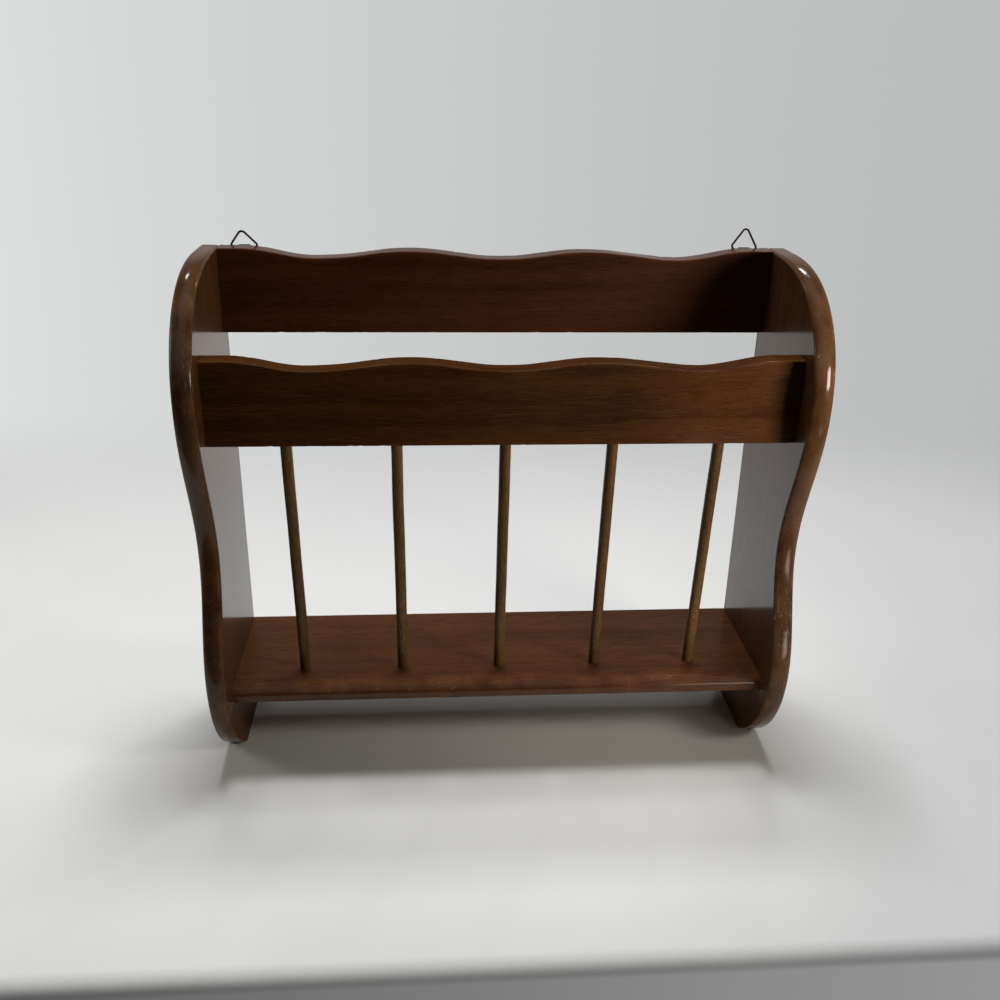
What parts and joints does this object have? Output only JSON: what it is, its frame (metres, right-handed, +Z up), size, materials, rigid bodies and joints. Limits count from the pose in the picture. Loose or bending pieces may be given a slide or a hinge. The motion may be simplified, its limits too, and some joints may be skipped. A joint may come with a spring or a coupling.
{
  "type": "newspaper rack",
  "caption": "Stained wooden rack with shaped side panels, waved rails, a shelf and front spindles, which holds newspapers or magazines on a table or hangs on a wall from wire triangles.",
  "frame": {"origin": "on the surface that it stands on, under the middle of the whole box, wire triangles included", "axes": "+X to the right as seen from the front, +Y back towards the wall, +Z up"},
  "size_m": [0.4286, 0.1372, 0.3929],
  "materials": {
    "panel_wood": "dark brown stain under glossy lacquer, worn on the front edges",
    "back_rail_wood": "dark reddish brown stain under glossy lacquer",
    "front_rail_wood": "dark brown stain under glossy lacquer",
    "shelf_wood": "reddish brown stain under glossy lacquer, chipped along the nose",
    "spindle_wood": "olive brown stain under satin lacquer",
    "pin_wood": "bare wood, hidden in the joints",
    "black_wire": "blackened steel wire",
    "black_strap": "blackened sheet steel",
    "screw_steel": "dull steel"
  },
  "bodies": {
    "rack": {"side_panel_left": "panel_wood", "side_panel_right": "panel_wood", "back_rail": "back_rail_wood", "front_rail": "front_rail_wood", "bottom_shelf": "shelf_wood", "spindle_1": "spindle_wood", "spindle_2": "spindle_wood", "spindle_3": "spindle_wood", "spindle_4": "spindle_wood", "spindle_5": "spindle_wood", "back_rail_pin_left_1": "pin_wood", "back_rail_pin_left_2": "pin_wood", "back_rail_pin_right_1": "pin_wood", "back_rail_pin_right_2": "pin_wood", "front_rail_pin_left_1": "pin_wood", "front_rail_pin_left_2": "pin_wood", "front_rail_pin_right_1": "pin_wood", "front_rail_pin_right_2": "pin_wood", "shelf_pin_left_1": "pin_wood", "shelf_pin_left_2": "pin_wood", "shelf_pin_left_3": "pin_wood", "shelf_pin_right_1": "pin_wood", "shelf_pin_right_2": "pin_wood", "shelf_pin_right_3": "pin_wood", "hanger_strap_left": "black_strap", "hanger_strap_right": "black_strap", "hanger_screw_left": "screw_steel", "hanger_screw_right": "screw_steel"},
    "left_ring": {"hanger_ring_left": "black_wire"},
    "right_ring": {"hanger_ring_right": "black_wire"}
  },
  "joints": [
    {"name": "left_ring_swing", "type": "hinge", "parent": "rack", "child": "left_ring", "pos_m": [-0.1833, 0.06512, 0.3773], "axis": [-1, 0, 0], "range_deg": [0, 214.5]},
    {"name": "right_ring_swing", "type": "hinge", "parent": "rack", "child": "right_ring", "pos_m": [0.1833, 0.06512, 0.3773], "axis": [-1, 0, 0], "range_deg": [-45, 169.5]}
  ]
}
